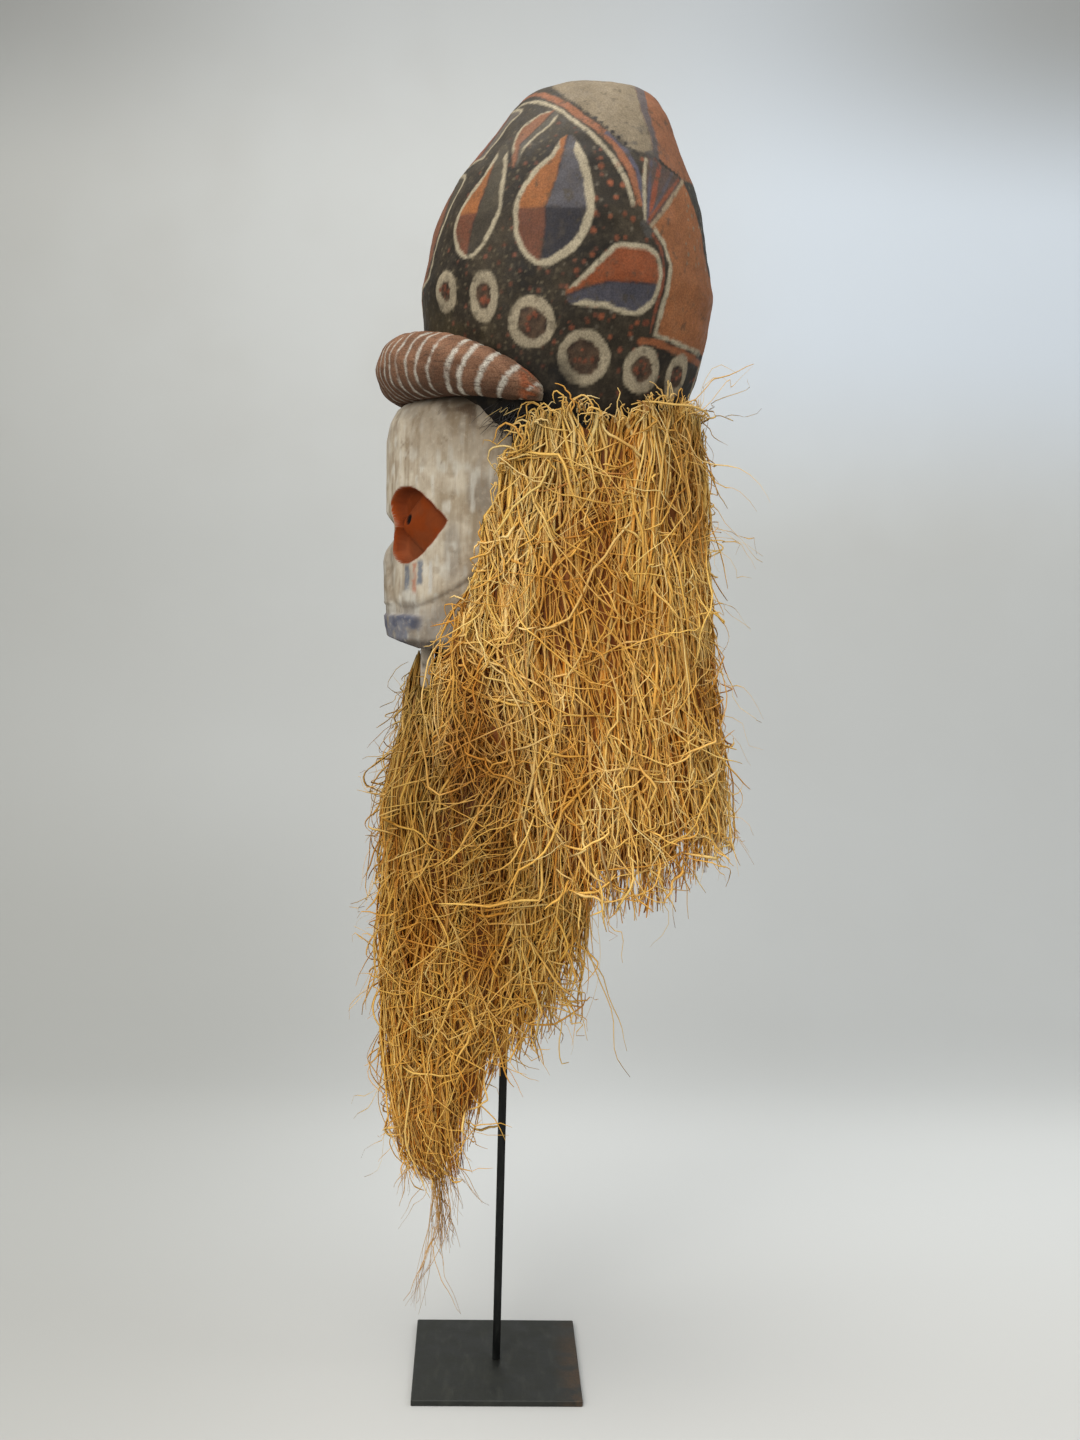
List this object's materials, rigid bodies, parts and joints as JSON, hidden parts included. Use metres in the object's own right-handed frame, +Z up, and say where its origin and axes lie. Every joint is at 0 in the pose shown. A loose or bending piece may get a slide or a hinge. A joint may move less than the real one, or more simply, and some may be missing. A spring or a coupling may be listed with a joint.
{
  "type": "dance mask on a stand",
  "caption": "Carved wooden face with a padded brow roll, a tall domed cloth headdress, and long raffia hair and beard, held up by a square rod on a square plate.",
  "frame": {"origin": "centre of the square base plate's underside", "axes": "+Z up, -Y the way the face looks, +X the mask's own left side"},
  "size_m": [0.28, 0.3749, 1.289],
  "materials": {
    "blackened_steel": "satin",
    "painted_wood": "matte",
    "striped_cloth": "matte",
    "painted_cloth": "matte",
    "raffia": "matte"
  },
  "bodies": {
    "root": {"base_plate": "blackened_steel", "stand_rod": "blackened_steel", "face": "painted_wood", "brow_roll": "striped_cloth", "headdress": "painted_cloth", "raffia_hair": "raffia", "raffia_beard": "raffia"}
  },
  "joints": []
}
